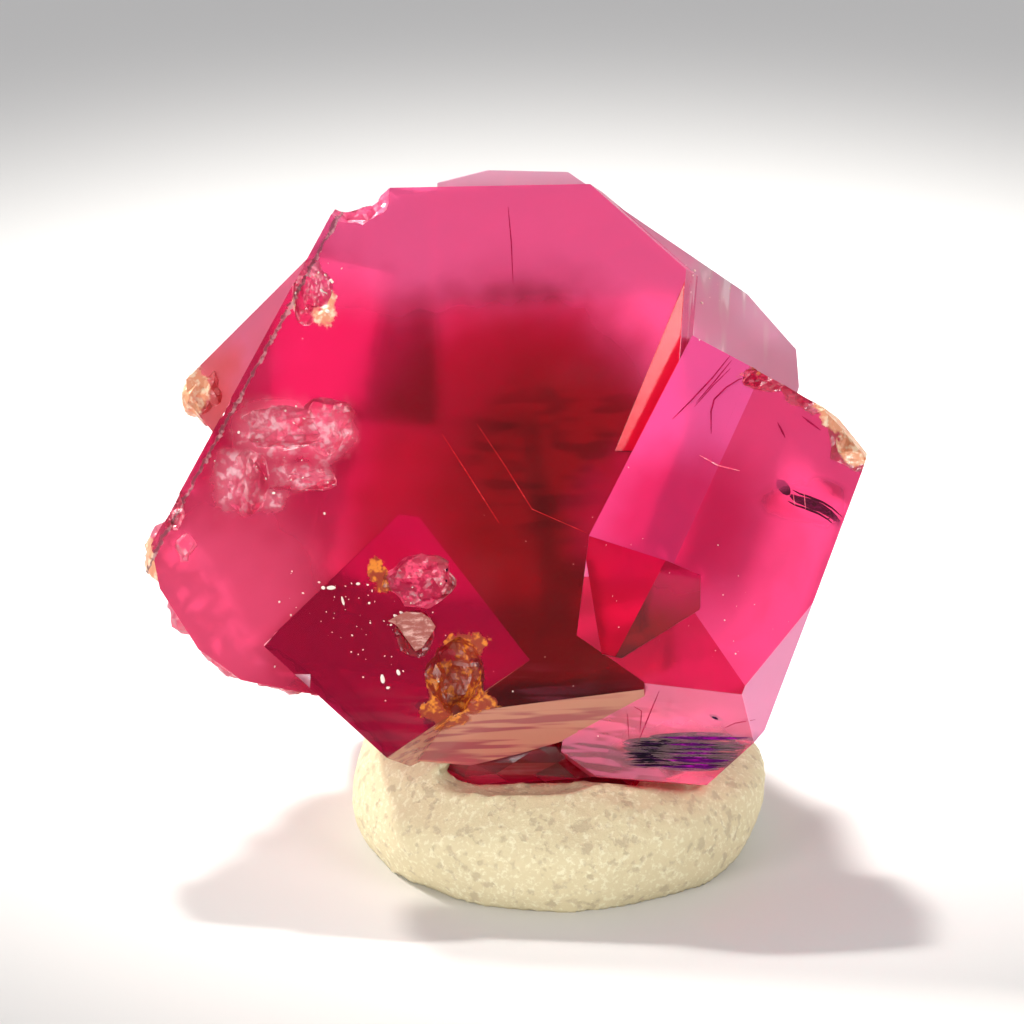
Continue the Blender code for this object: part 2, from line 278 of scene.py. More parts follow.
# A dark line with paler flecks along the left edge of the main face: the direction across it, how far out it
# lies and half its width, in millimetres. The grain makes it stray by the waver.
EDGE_ACROSS = Vector((-0.880, 0.0, 0.475))
EDGE_OUT = 8.56
EDGE_HALF_WIDTH = 0.045
EDGE_WAVER = 0.3

# Painted light and shade of single crystal faces, which in the stone come from light inside it: a point on
# the face (right, up), its painted colour, and how much light it scatters
FACET_PAINTED_LIGHT = {
    "strip below the upper right corner": ((4.60, 5.37), (0.90, 0.005, 0.030), 0.50),
    "bright strip": ((5.10, 3.17), (1.00, 0.130, 0.430), 0.55),
    "right face": ((7.30, 0.14), (1.00, 0.085, 0.280), 0.50),
    "bright facet in the corner": ((2.95, -1.52), (0.72, 0.002, 0.045), 0.50),
    "dark facet in the corner": ((4.41, -1.40), (0.15, 0.0002, 0.0006), 0.55),
    "lower facet": ((4.82, -3.17), (0.58, 0.003, 0.060), 0.45),
    "foot of the right crystal": ((5.10, -4.82), (1.00, 0.170, 0.370), 0.45),
    "right bevel": ((7.30, -3.72), (1.00, 0.360, 0.620), 0.70),
    "underside": ((0.30, -5.30), (0.80, 0.330, 0.240), 0.82),
    "underside of the layer": ((-2.60, -5.55), (0.60, 0.260, 0.180), 0.75),
    "side of the foot block": ((-2.10, -5.60), (0.62, 0.280, 0.190), 0.75),
    "growth layer": ((-4.60, -2.90), (0.36, 0.001, 0.045), 0.40),
    "upper right crystal": ((6.75, 5.92), (1.00, 0.660, 0.860), 0.62),
    "back left crystal": ((-7.90, 4.90), (1.00, 0.320, 0.480), 0.60),
}


# The clear red stuff of the crystals
GARNET_IOR = 1.734
ABSORPTION_COLOUR = (0.93, 0.10, 0.54, 1.0)
ABSORPTION_DENSITY = 200.0

# Colours of the crystals' zones
RED = (0.66, 0.006, 0.090, 1)
VEILED_RED = (0.80, 0.016, 0.150, 1)
# painted glow of the lower left and of the top
PAINTED_GLOW_RED = (1.0, 0.100, 0.24, 1)
PAINTED_GLOW_PINK = (1.0, 0.130, 0.36, 1)
# painted shade of the crystals' thick middle, and of its heart
PAINTED_SHADE_RED = (0.21, 0.0004, 0.009, 1)
PAINTED_SHADE_HEART_RED = (0.10, 0.0002, 0.0006, 1)
WISP_BLACK = (0.020, 0.0002, 0.0004, 1)
# painted shade on the right crystal
PAINTED_SHADE_DULL_RED = (0.55, 0.0012, 0.070, 1)
SALMON = (1.0, 0.20, 0.16, 1)
# pale painted glints on the grooves at the upper right
PAINTED_GLINT_PINK = (1.0, 0.90, 0.94, 1)
GROOVE_RED = (0.34, 0.05, 0.09, 1)
BACK_PINK = (1.0, 0.16, 0.34, 1)
BACK_RED = (1.0, 0.08, 0.20, 1)
# painted shade of the heart, on the faces turned to the back
BACK_PAINTED_SHADE_RED = (0.40, 0.004, 0.020, 1)

# Colours of the broken and stained places: between the flecks, and in them
FRACTURE_COLOURS = ((1.0, 0.20, 0.32, 1), (1.0, 0.56, 0.62, 1))
CHIP_COLOURS = ((0.50, 0.003, 0.060, 1), (0.92, 0.070, 0.190, 1))
CREAM_COLOURS = ((0.86, 0.42, 0.20, 1), (1.0, 0.86, 0.58, 1))
STAIN_COLOURS = ((0.34, 0.030, 0.002, 1), (0.82, 0.25, 0.015, 1))
EDGE_COLOURS = ((0.10, 0.020, 0.03, 1), (0.60, 0.34, 0.34, 1))

# Roughness of the crystals' surfaces
FRONT_ROUGHNESS = 0.22
TINTED_ROUGHNESS = 0.06
BACK_ROUGHNESS = 0.45
BREAK_ROUGHNESS = 0.36
WEATHERED_ROUGHNESS = 0.42
VEIL_ROUGHNESS = 0.05

# How much of the light the crystals scatter and don't let through
FRONT_SCATTER = 0.36
MILKY_SCATTER = 0.55
BACK_SCATTER = 0.25
FROST_SCATTER = (0.40, 0.75)
# What is left of the scattering over inclusions that lie close under the surface
CLEAR_SHARE = 0.15

# The grain's relief on smooth and on weathered surfaces, and its height
SMOOTH_RELIEF = 0.01
WEATHERED_RELIEF = 0.15
GRAIN_HEIGHT = 0.15 * MM


def garnet_material():
    """Clear garnet, with cloudy, frosted and stained places, and painted glow, glints and shade."""
    n = Nodes("garnet_crystal")
    where = n.cluster_place()
    rough_break = n.attribute("rough_break")
    turned_back = n.attribute("turned_back")
    facet = n.attribute("facet_share")
    painted_tint = n.add("ShaderNodeAttribute", attribute_name="facet_painted_light").outputs["Color"]
    clear = n.between(n.attribute("clear"), 1.0, CLEAR_SHARE)
    grain = n.noise(where, 3.8, 2.0, 0.68)
    flecks = n.step(grain, 0.48, 0.64)
    veil = n.step(n.noise(where, 0.55, 1.0, 0.62), 0.50, 0.74)

    painted_heart_shade = n.attribute("painted_shade_heart")
    painted_glow = n.attribute("painted_glow_top")
    pale = n.attribute("pale_fractures")
    cream = n.frayed("cream_edges", grain)
    stain = n.frayed("mineral_stain", grain)
    chip = n.maths("MULTIPLY", n.attribute("chip"), rough_break)
    painted_glints = n.grooves(where, (2.6, 2.6, 0.45), "painted_glint_grooves")
    level = n.grooves(where, (0.35, 3.0, 4.5), "level_grooves")
    wisps = n.grooves(where, (0.55, 0.4, 2.1), "dark_wisps")
    across = n.maths("ADD", n.dot(where, EDGE_ACROSS), n.maths("MULTIPLY", grain, EDGE_WAVER))
    from_edge = n.maths("ABSOLUTE", n.maths("SUBTRACT", across, EDGE_OUT))
    edge = n.step(from_edge, EDGE_HALF_WIDTH * 1.5, EDGE_HALF_WIDTH * 0.7)

    back_colour = n.mix(veil, BACK_PINK, BACK_RED)
    # painted shade of the heart on the faces turned to the back
    back_colour = n.mix(n.maths("MULTIPLY", painted_heart_shade, 0.8), back_colour, BACK_PAINTED_SHADE_RED)
    colour = n.mix(n.maths("MULTIPLY", veil, 0.5), RED, VEILED_RED)
    # each layer: where it lies, how strong it is there, and its colour
    layers = [
        # painted glow of the lower left and of the top
        (n.attribute("painted_glow_lower_left"), 1.0, PAINTED_GLOW_RED),
        (painted_glow, 1.0, PAINTED_GLOW_PINK),
        # painted shade of the thick middle and of its heart
        (n.attribute("painted_shade_middle"), 0.92, PAINTED_SHADE_RED),
        (painted_heart_shade, 0.97, PAINTED_SHADE_HEART_RED),
        (wisps, 0.70, WISP_BLACK),
        (turned_back, 1.0, back_colour),
        # painted light and shade of single faces
        (n.step(facet, 0.0, 0.3), 1.0, painted_tint),
        # painted shade on the right crystal
        (n.attribute("painted_shade_right"), 0.8, PAINTED_SHADE_DULL_RED),
        (n.attribute("salmon"), 0.7, SALMON),
        (pale, 0.9, n.mix(flecks, *FRACTURE_COLOURS)),
        # painted glints on the grooves at the upper right
        (painted_glints, 0.95, PAINTED_GLINT_PINK),
        (level, 0.80, GROOVE_RED),
        (chip, 1.0, n.mix(flecks, *CHIP_COLOURS)),
        (cream, 0.9, n.mix(flecks, *CREAM_COLOURS)),
        (stain, 1.0, n.mix(flecks, *STAIN_COLOURS)),
        (edge, 0.8, n.mix(flecks, *EDGE_COLOURS)),
    ]
    for zone, strength, layer_colour in layers:
        colour = n.mix(n.maths("MULTIPLY", zone, strength), colour, layer_colour)
    n.set("Base Color", colour)

    weathered = n.maths("MAXIMUM", n.maths("MAXIMUM", pale, cream), stain)
    roughness = n.between(turned_back, n.between(facet, FRONT_ROUGHNESS, TINTED_ROUGHNESS), BACK_ROUGHNESS)
    roughness = n.between(rough_break, roughness, BREAK_ROUGHNESS)
    roughness = n.between(n.maths("MAXIMUM", weathered, edge), roughness, WEATHERED_ROUGHNESS)
    n.set("Roughness", n.maths("ADD", roughness, n.maths("MULTIPLY", veil, VEIL_ROUGHNESS), clamp=True))

    milky = n.maths("MAXIMUM", n.attribute("milky"), painted_glow)
    front = n.maths("MULTIPLY", n.between(milky, FRONT_SCATTER, MILKY_SCATTER), clear)
    scatter = n.between(turned_back, front, BACK_SCATTER)
    scatter = n.maths("MAXIMUM", scatter, n.maths("MULTIPLY", facet, clear))
    # each place that lets less light through, and how much it scatters
    places = [
        (pale, n.between(flecks, *FROST_SCATTER)),
        (chip, 0.75),
        (painted_glints, 0.85),
        (cream, 0.85),
        (stain, 0.92),
        (edge, 0.80),
    ]
    for zone, share in places:
        scatter = n.maths("MAXIMUM", scatter, n.maths("MULTIPLY", zone, share))
    n.set("Transmission Weight", n.maths("SUBTRACT", 1.0, scatter, clamp=True))
    n.set("IOR", GARNET_IOR)

    uneven = n.maths("MAXIMUM", weathered, n.maths("MULTIPLY", turned_back, 0.6))
    relief = n.between(uneven, SMOOTH_RELIEF, WEATHERED_RELIEF)
    bump = n.add("ShaderNodeBump", {"Height": grain, "Strength": relief, "Distance": GRAIN_HEIGHT})
    n.set("Normal", bump.outputs["Normal"])

    absorb = n.add("ShaderNodeVolumeAbsorption")
    absorb.inputs["Color"].default_value = ABSORPTION_COLOUR
    absorb.inputs["Density"].default_value = ABSORPTION_DENSITY
    n.tree.links.new(absorb.outputs["Volume"], n.output.inputs["Volume"])
    return n.material


# Colours of the putty
PUTTY_DULL = (0.80, 0.72, 0.46, 1)
PUTTY_PALE = (0.93, 0.88, 0.66, 1)
PUTTY_CRUMB_COLOUR = (0.74, 0.64, 0.40, 1)
PUTTY_PIT_COLOUR = (0.60, 0.50, 0.32, 1)
PUTTY_GRAIN_HEIGHT = 0.08 * MM


def putty_material():
    """Pale mineral tack, a little oily and dusty."""
    n = Nodes("putty")
    where = n.cluster_place()
    patches = n.noise(where, 0.35, 4.0)
    crumbs = n.noise(where, 6.0, 8.0, 0.7)
    pits = n.step(n.noise(where, 2.6, 4.0), 0.34, 0.46)
    colour = n.mix(patches, PUTTY_DULL, PUTTY_PALE)
    colour = n.mix(n.step(crumbs, 0.62, 0.50), colour, PUTTY_CRUMB_COLOUR)
    colour = n.mix(pits, PUTTY_PIT_COLOUR, colour)
    n.set("Base Color", colour)
    n.set("Roughness", n.between(crumbs, 0.62, 0.88))
    height = n.maths("ADD", crumbs, n.maths("MULTIPLY", pits, 0.5))
    bump = n.add("ShaderNodeBump", {"Height": height, "Strength": 0.5, "Distance": PUTTY_GRAIN_HEIGHT})
    n.set("Normal", bump.outputs["Normal"])
    return n.material


# The stuff of the inclusions, the cracks and the scale: a dark and a lighter colour of each
INCLUSION_COLOURS = {
    "inclusion_dark": ((0.004, 0.000, 0.006, 1), (0.060, 0.001, 0.070, 1)),
    "inclusion_purple": ((0.070, 0.000, 0.085, 1), (0.40, 0.002, 0.34, 1)),
    "crack_dark": ((0.30, 0.001, 0.040, 1), (0.55, 0.006, 0.090, 1)),
    "crack_red": ((0.42, 0.010, 0.015, 1), (0.80, 0.050, 0.060, 1)),
    "crack_pale": ((0.90, 0.10, 0.20, 1), (1.0, 0.55, 0.60, 1)),
    "scale": ((0.42, 0.13, 0.11, 1), (0.80, 0.48, 0.42, 1)),
}
# pale dust, and painted glints
DUST_AND_GLINT_COLOURS = ((0.80, 0.62, 0.50, 1), (1.0, 0.95, 0.88, 1))


def inclusion_material(name, dark, light):
    """Fibrous stuff that runs between a dark and a lighter colour."""
    n = Nodes(name)
    where = n.cluster_place()
    along = n.add("ShaderNodeMapping", {"Vector": where, "Scale": (0.4, 3.0, 3.0)}).outputs["Vector"]
    fibres = n.noise(along, 3.0, 5.0, 0.7)
    n.set("Base Color", n.mix(n.step(fibres, 0.45, 0.70), dark, light))
    n.set("Roughness", n.between(fibres, 0.5, 0.8))
    n.set("Specular IOR Level", 0.08)
    return n.material


def dust_and_glint_material():
    """Pale specks of dust and mineral, also standing in as painted glints."""
    # dust, whose pale specks also paint glints
    n = Nodes("dust")
    where = n.cluster_place()
    tone = n.noise(where, 2.0, 3.0)
    n.set("Base Color", n.mix(tone, *DUST_AND_GLINT_COLOURS))
    n.set("Roughness", n.between(tone, 0.35, 0.7))
    return n.material


# Crystals

# Faces with no edge longer than this belong to a break and not to a crystal face.
BREAK_FACE = 0.80 * MM
BREAK_RELIEF = 0.06 * MM
BREAK_RELIEF_SCALE = 1.8
FLAT_ANGLE = math.radians(1.5)
WELD = 2e-7

# A face is turned to the back where the cosine between its normal and the front is below this.
TURNED_BACK = -0.05
# On the left, a face with a cosine below this stands sideways, and is as dull as this share of a back face.
SIDEWAYS = 0.35
SIDE_SHARE = 0.5
# A narrow or small face, below this area, counts as turned to the back only where it lies between such faces.
SMALLEST_BACK = 1.5 * MM ** 2

# Edges longer than this are halved, in this many rounds.
LONGEST_EDGE = 0.40 * MM
REFINING_ROUNDS = 5

# The back's edges are rounded by this many rounds of smoothing. Waves and smaller ripples go in this deep.
BACK_ROUNDING = 14
BACK_WAVES = 0.28 * MM
BACK_WAVE_SCALE = 0.55
BACK_RIPPLE_SCALE = 1.7
BACK_RIPPLE_SHARE = 0.35

# Faces this near to one plane are flush, so a growth layer takes the painted light and shade of the face it
# stands on.
FLUSH = 0.15 * MM

# A fine bevel wears the long straight edges at the front.
BEVEL = 0.02 * MM
BEVEL_LEAST_ANGLE = math.radians(12)
LONG_EDGE = 0.9 * MM
SHORT_EDGE = 0.2 * MM

# A place (back) in front of everything, from where a line of sight starts
IN_FRONT = -30


def clean_solid(node):
    """A copy of a node's solid with its corners welded and its flat faces whole again."""
    shape = bmesh.new()
    shape.from_mesh(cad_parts[node].data)
    bmesh.ops.remove_doubles(shape, verts=shape.verts[:], dist=WELD)
    bmesh.ops.dissolve_limit(
        shape,
        angle_limit=FLAT_ANGLE,
        verts=shape.verts[:],
        edges=shape.edges[:],
        use_dissolve_boundaries=False,
    )
    return shape


def refine(shape):
    """Cuts the faces into triangles that are small enough to hold the zones."""
    bmesh.ops.triangulate(shape, faces=shape.faces[:])
    for _ in range(REFINING_ROUNDS):
        long_edges = [edge for edge in shape.edges if edge.calc_length() > LONGEST_EDGE]
        bmesh.ops.subdivide_edges(shape, edges=long_edges, cuts=1)
        bmesh.ops.triangulate(shape, faces=[face for face in shape.faces if len(face.verts) > 3])


def soften_back(shape, back):
    """Rounds the edges between the faces turned to the back, and makes them gently wavy."""
    inner = [v for v in shape.verts if all(face[back] > 0.5 for face in v.link_faces)]
    for _ in range(BACK_ROUNDING):
        bmesh.ops.smooth_vert(
            shape, verts=inner, factor=0.5, use_axis_x=True, use_axis_y=True, use_axis_z=True
        )
    shape.normal_update()
    seat_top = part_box("putty")[1].z
    moves = []
    for vertex in inner:
        where = vertex.co / MM
        clear_of_seat = min(1.0, max(0.0, (vertex.co.z - seat_top) / MM))
        wave = 0.5 + 0.5 * noise.noise(where * BACK_WAVE_SCALE)
        ripple = 0.5 + 0.5 * noise.noise(where * BACK_RIPPLE_SCALE + Vector((5, 0, 0)))
        depth = (wave + BACK_RIPPLE_SHARE * ripple) * BACK_WAVES * clear_of_seat
        moves.append(-vertex.normal * depth)
    for vertex, move in zip(inner, moves):
        vertex.co += move


def roughen_breaks(shape, rough):
    """Gives the broken places a finer, rougher relief."""
    faces = [face for face in shape.faces if face[rough] > 0.5]
    bmesh.ops.triangulate(shape, faces=faces)
    inner = [
        edge for edge in shape.edges
        if len(edge.link_faces) == 2 and all(face[rough] > 0.5 for face in edge.link_faces)
    ]
    bmesh.ops.subdivide_edges(shape, edges=inner, cuts=2, use_grid_fill=True)
    shape.normal_update()
    for vertex in [v for v in shape.verts if all(face[rough] > 0.5 for face in v.link_faces)]:
        relief = noise.fractal(vertex.co / MM * BREAK_RELIEF_SCALE, 0.7, 2.0, 4)
        vertex.co += vertex.normal * relief * BREAK_RELIEF


def paint_facet_light(shape):
    """Gives the listed faces, and those flush with them, their painted light and shade, and its share."""
    painted_tint = shape.faces.layers.float_vector.new("facet_painted_light")
    share = shape.faces.layers.float.new("facet_share")
    shape.faces.ensure_lookup_table()
    tree = BVHTree.FromBMesh(shape)
    for (right, up), colour, part in FACET_PAINTED_LIGHT.values():
        hit, normal, _, _ = tree.ray_cast(place(right, IN_FRONT, up), -FRONT)
        for face in shape.faces:
            apart = abs((face.calc_center_median() - hit).dot(normal))
            if face.normal.angle(normal) < FLAT_ANGLE and apart < FLUSH:
                face[painted_tint] = colour
                face[share] = part


def between_backs(face, back):
    """Whether both long sides of a narrow face meet faces that are turned to the back."""
    long_sides = sorted(face.edges, key=lambda edge: edge.calc_length())[-2:]
    beside = [other for edge in long_sides for other in edge.link_faces if other is not face]
    return face.calc_area() < SMALLEST_BACK and all(other[back] > 0.5 for other in beside)


def bevel_edges(shape, back):
    """Wears the long sharp edges of the front faces, where nothing small meets them."""
    edges = []
    for edge in shape.edges:
        if edge.calc_length() < LONG_EDGE or edge.calc_face_angle(0) < BEVEL_LEAST_ANGLE:
            continue
        if any(face[back] > 0.5 or face.calc_area() < SMALLEST_BACK / 2 for face in edge.link_faces):
            continue
        touching = [other for vertex in edge.verts for other in vertex.link_edges]
        if min(other.calc_length() for other in touching) > SHORT_EDGE:
            edges.append(edge)
    bmesh.ops.bevel(
        shape,
        geom=edges,
        offset=BEVEL,
        offset_type="OFFSET",
        segments=2,
        profile=0.5,
        affect="EDGES",
        clamp_overlap=True,
    )


def paint_zones(crystals):
    """Stores how far inside each zone every point lies, from 0 outside to 1 inside."""
    noise.seed_set(ZONE_SEED)
    mesh = crystals.data
    to_cluster = CLUSTER.inverted()
    places = [to_cluster @ vertex.co for vertex in mesh.vertices]
    uneven = np.array([
        where + noise.noise_vector(where * ZONE_WOBBLE_SCALE) * ZONE_WOBBLE for where in places
    ])
    for name, (edge, ellipsoids) in ZONES.items():
        reaches = [np.linalg.norm((uneven - middle) / radii, axis=1) for middle, radii in ellipsoids]
        share = np.clip((1 + edge - np.min(reaches, axis=0)) / (2 * edge), 0, 1)
        smooth = share * share * (3 - 2 * share)
        mesh.attributes.new(name, "FLOAT", "POINT").data.foreach_set("value", smooth)


def build_crystals():
    """The crystals, with their faces marked as broken, turned to the back or given painted light and shade.
    """
    shape = clean_solid("garnet")
    rough = shape.faces.layers.float.new("rough_break")
    back = shape.faces.layers.float.new("turned_back")
    paint_facet_light(shape)
    for face in shape.faces:
        longest = max(edge.calc_length() for edge in face.edges)
        face[rough] = float(longest < BREAK_FACE and face.calc_area() < BREAK_FACE ** 2 / 2)
        broad = face[rough] < 0.5 and face.calc_area() > SMALLEST_BACK
        faces_front = face.normal.dot(FRONT)
        face[back] = float(broad and faces_front < TURNED_BACK)
        if not face[back] and faces_front < SIDEWAYS and face.normal.x < 0:
            face[back] = SIDE_SHARE
    for face in [face for face in shape.faces if face[rough] < 0.5 and between_backs(face, back)]:
        face[back] = 1.0
    bevel_edges(shape, back)
    refine(shape)
    roughen_breaks(shape, rough)
    soften_back(shape, back)
    bmesh.ops.recalc_face_normals(shape, faces=shape.faces[:])
    for face in shape.faces:
        face.smooth = face[back] > 0.5
    for edge in shape.edges:
        edge.smooth = all(face[back] > 0.5 for face in edge.link_faces)
    crystals = mesh_object("garnet_crystals", shape)
    paint_zones(crystals)
    crystals.data.materials.append(garnet_material())
    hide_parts("garnet")
    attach(crystals, "root")
    return crystals


# Putty

# The size of its mesh and the depth of its crumb
PUTTY_VOXEL = 0.16 * MM
PUTTY_CRUMB = 0.05 * MM
# The bottom is pressed flat up to this height.
PUTTY_PRESSED = 0.4 * PUTTY_VOXEL


def build_putty():
    """The dab, with an even mesh and a crumb that goes into its surface."""
    shape = clean_solid("putty")
    putty = mesh_object("putty_dab", shape)
    remesh = putty.modifiers.new("even", "REMESH")
    remesh.mode = "VOXEL"
    remesh.voxel_size = PUTTY_VOXEL
    graph = bpy.context.evaluated_depsgraph_get()
    even = bpy.data.meshes.new_from_object(putty.evaluated_get(graph))
    putty.modifiers.clear()
    putty.data = even
    floor = CAD_LOW.z
    fine = bmesh.new()
    fine.from_mesh(even)
    for vertex in fine.verts:
        if vertex.co.z < floor + PUTTY_PRESSED:
            vertex.co.z = floor
            continue
        where = vertex.co / MM
        crumb = noise.fractal(where * 1.5, 0.8, 2.1, 5)
        patch = max(0.0, noise.noise(where * 0.35 + Vector((3, 1, 0))))
        vertex.co -= vertex.normal * abs(crumb) * PUTTY_CRUMB * (0.6 + 3.0 * patch)
        vertex.co.z = max(vertex.co.z, floor)
    fine.to_mesh(even)
    fine.free()
    for polygon in even.polygons:
        polygon.use_smooth = True
    putty.data.materials.clear()
    putty.data.materials.append(putty_material())
    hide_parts("putty")
    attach(putty, "root")
    return putty


# Inclusions, cracks, and dust with painted glints

# How far apart the points of a traced line are, and how thin it gets at its ends as a share of its radius
TRACE_STEP = 0.16
LINE_END = 0.25


def surface_tree(obj):
    graph = bpy.context.evaluated_depsgraph_get()
    return BVHTree.FromObject(obj, graph)


def front_point(tree, right, up, depth=0.0):
    """The point seen at (right, up) on the front, or one this deep behind it, and the face's normal."""
    hit, normal, _, _ = tree.ray_cast(place(right, IN_FRONT, up), -FRONT)
    if hit is not None:
        hit = hit - FRONT * depth * MM
    return hit, normal


def tube_along(shape, points, radii, sides=12):
    """Adds a closed round body along a line of points, with a radius at each point."""
    rings = []
    for index, (point, radius) in enumerate(zip(points, radii)):
        before = points[max(0, index - 1)]
        after = points[min(len(points) - 1, index + 1)]
        turn = (after - before).to_track_quat("Z", "Y")
        ring = []
        for side in range(sides):
            angle = math.tau * side / sides
            outwards = turn @ Vector((math.cos(angle), math.sin(angle), 0))
            ring.append(shape.verts.new(point + outwards * radius))
        rings.append(ring)
    for low, high in zip(rings, rings[1:]):
        for side in range(sides):
            other = (side + 1) % sides
            shape.faces.new((low[side], low[other], high[other], high[side]))
    shape.faces.new(reversed(rings[0]))
    shape.faces.new(rings[-1])


def trace(tree, places, depth):
    """Close points on or behind the cluster's front, along a line of places (right, up)."""
    points = []
    for (right, up), (next_right, next_up) in zip(places, places[1:]):
        steps = max(2, round(math.hypot(next_right - right, next_up - up) / TRACE_STEP))
        for step in range(steps):
            t = step / steps
            here = (right + (next_right - right) * t, up + (next_up - up) * t)
            hit, _ = front_point(tree, *here, depth)
            if hit is not None:
                points.append(hit)
    hit, _ = front_point(tree, *places[-1], depth)
    return points + ([hit] if hit is not None else [])


def add_line(shape, tree, places, half_width, depth=0.0, sides=6):
    """Adds a thin body along a line of places, fine at both ends."""
    points = trace(tree, places, depth)
    last = len(points) - 1
    if last < 2:
        return
    radii = []
    for index in range(last + 1):
        from_end = 1 - abs(2 * index / last - 1)
        radii.append(MM * half_width * (LINE_END + (1 - LINE_END) * math.sqrt(from_end)))
    tube_along(shape, points, radii, sides)


def add_ball(shape, middle, radii, turn=0.0, detail=2):
    """Adds an ellipsoid that is turned in the plane of view by this many degrees."""
    turned = Matrix.Rotation(math.radians(turn), 4, -FRONT) @ Matrix.Rotation(-LEAN_BACK, 4, "X")
    size = Matrix.Diagonal((*(radius * MM for radius in radii), 1))
    bmesh.ops.create_icosphere(
        shape, subdivisions=detail, radius=1.0, matrix=Matrix.Translation(middle) @ turned @ size
    )


# The places and sizes below are in the cluster's own frame, in millimetres unless they are given times MM.

# The tube inside the right crystal: the middle line of its body (right, up), its radius and how deep it is
TUBE_LINE = [(7.82, 1.36), (8.02, 1.25), (8.27, 1.17), (8.65, 1.02), (8.91, 0.86), (9.20, 0.60)]
TUBE_RADIUS = 0.155
TUBE_DEPTH = 0.17
# Its two walls: their radius and depth
TUBE_WALL = 0.035
TUBE_WALL_DEPTH = 0.11
# Its head: the place (right, up), the radii, and the turn in degrees
TUBE_HEAD = (7.64, 1.58)
TUBE_HEAD_RADII = (0.15, 0.15, 0.27)
TUBE_HEAD_TURN = -40
# The loose grains at its lower end: how many, where they start and end (right), how high their line starts,
# how steeply it falls, how far they stray from it, and how deep and large they are
TUBE_GRAIN_COUNT = 16
TUBE_GRAIN_RIGHT = (8.80, 9.16)
TUBE_GRAIN_UP = 0.92
TUBE_GRAIN_FALL = 0.85
TUBE_GRAIN_STRAY = 0.12
TUBE_GRAIN_DEPTH = 0.05
TUBE_GRAIN_RADIUS = (0.02, 0.045)

# The band of fibres across the foot of the right crystal: the middle of a bundle (right, up), its half length
# and half height, how many fibres, the thickest radius, and how deep they are
DARK_BUNDLES = [
    ((4.00, -5.72), (0.76, 0.36), 90, 0.060, 0.05),
    ((5.45, -5.66), (1.50, 0.42), 40, 0.034, 0.03),
]
PURPLE_BUNDLES = [
    ((5.45, -5.68), (1.50, 0.46), 60, 0.085, 0.08),
]
# How far a fibre bows up or down, and its shares of the half length, of the thickest radius and of the depth
FIBRE_BOW = 0.08
FIBRE_LENGTH = (0.25, 1.0)
FIBRE_THICKNESS = (0.35, 1.0)
FIBRE_DEPTH = (0.6, 1.4)

# Small round dark grains: place (right, up) and radius
GRAINS = [
    ((8.48, 1.12), 0.065),
    ((5.13, 5.18), 0.035),
    ((5.05, 4.38), 0.035),
    ((5.33, 3.50), 0.030),
    ((-1.58, -0.69), 0.060),
    ((-1.60, -0.98), 0.050),
]
# The larger grain below the right crystal's broad face
OVAL_GRAIN = (5.78, -4.71)
OVAL_GRAIN_RADII = (0.20, 0.08, 0.08)
OVAL_GRAIN_TURN = 22

# Fine cracks that reach the front: lines of places (right, up) and half widths
DARK_CRACKS = [
    ([(6.19, 5.21), (5.72, 4.62), (5.11, 3.97), (4.60, 3.46)], 0.022),
    ([(6.23, 5.08), (5.80, 4.55), (5.26, 3.92)], 0.018),
    ([(6.20, 4.86), (5.75, 4.42), (5.20, 3.80)], 0.015),
    ([(6.59, 4.60), (6.42, 4.55), (6.08, 4.34), (5.75, 4.01), (5.66, 3.67), (5.66, 3.06)], 0.024),
    ([(7.48, 3.37), (7.69, 2.95)], 0.030),
    ([(8.15, 3.54), (8.66, 3.16)], 0.025),
    ([(0.08, 9.37), (0.17, 8.40), (0.22, 7.22)], 0.016),
    ([(5.95, -5.05), (6.30, -4.88), (6.86, -4.78)], 0.012),
    ([(3.37, -4.64), (3.41, -5.36)], 0.014),
    ([(3.54, -4.44), (3.75, -4.56), (3.71, -5.19)], 0.014),
    ([(4.22, -4.01), (3.66, -5.45)], 0.016),
]
RED_CRACKS = [
    ([(-1.74, 3.06), (-0.96, 1.85), (-0.17, 0.61)], 0.015),
    ([(-0.77, 3.33), (0.00, 2.18), (0.74, 0.99), (2.25, 0.33)], 0.012),
]
PALE_CRACKS = [
    ([(5.34, 2.47), (5.83, 2.19), (6.44, 2.04)], 0.018),
    ([(8.20, 1.45), (8.24, 0.98)], 0.014),
    ([(7.90, 1.45), (7.94, 1.08)], 0.012),
]

# Pale flakes that stand out in the dust, partly dust and partly painted glints: place (right, up), half
# length, half width, and turn in degrees
DUST_AND_GLINT_FLAKES = [
    ((-3.36, -3.71), 0.17, 0.060, 80),
    ((-2.93, -3.51), 0.10, 0.050, 70),
    ((-3.22, -3.92), 0.05, 0.040, 0),
    ((-4.46, -1.57), 0.17, 0.035, 75),
    ((-5.01, -1.18), 0.06, 0.050, 20),
    ((-4.79, -1.18), 0.13, 0.060, 0),
    ((-4.05, -1.07), 0.06, 0.040, 0),
    ((-2.98, -1.98), 0.12, 0.050, 35),
    ((-2.84, -1.88), 0.09, 0.040, 40),
    ((-2.02, -2.22), 0.10, 0.050, 110),
]
# The pale scale on the growth layer: its outline (right, up), its thickness, and how far its top lifts off
SCALE_OUTLINE = [
    (-3.22, -2.09), (-3.03, -1.97), (-2.73, -1.83), (-2.29, -1.87), (-2.05, -2.03), (-1.91, -2.24),
    (-2.01, -2.43), (-2.22, -2.56), (-2.29, -2.84), (-2.47, -2.92), (-2.73, -2.58), (-2.99, -2.20),
]
SCALE_THICKNESS = 0.03 * MM
SCALE_LIFT = 0.10 * MM

